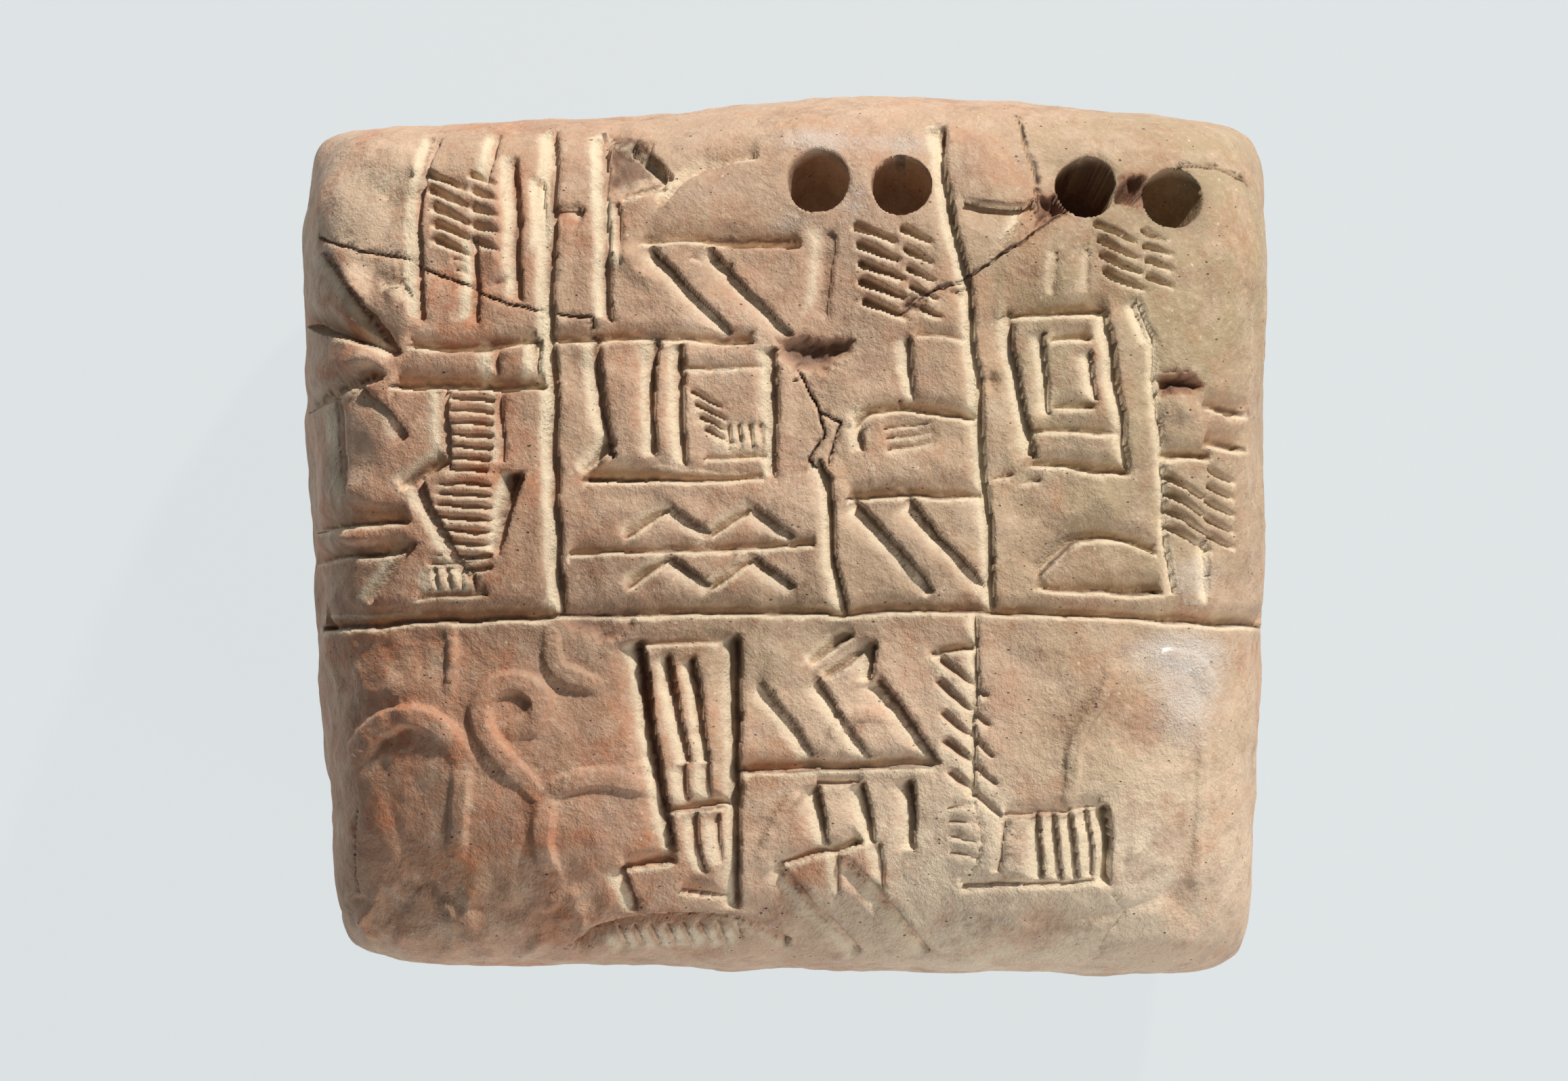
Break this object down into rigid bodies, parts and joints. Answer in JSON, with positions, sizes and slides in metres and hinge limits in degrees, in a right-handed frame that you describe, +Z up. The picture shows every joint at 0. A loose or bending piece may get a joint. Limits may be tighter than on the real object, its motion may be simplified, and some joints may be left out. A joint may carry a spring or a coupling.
{
  "type": "inscribed clay tablet",
  "caption": "Thick cushion-shaped clay tablet with ruled cases of wedge strokes, round number pits and the raised figures of a rolled seal.",
  "frame": {"origin": "middle of the underside, on the flat spot of the back that the tablet rests on", "axes": "+Z up, out of the written face; +Y towards the tablet's top edge, the one with the number pits; +X to the reader's right"},
  "size_m": [0.06, 0.0546, 0.0415],
  "materials": {
    "clay": "unglazed, dry and slightly worn"
  },
  "bodies": {
    "root": {"tablet": "clay"}
  },
  "joints": []
}
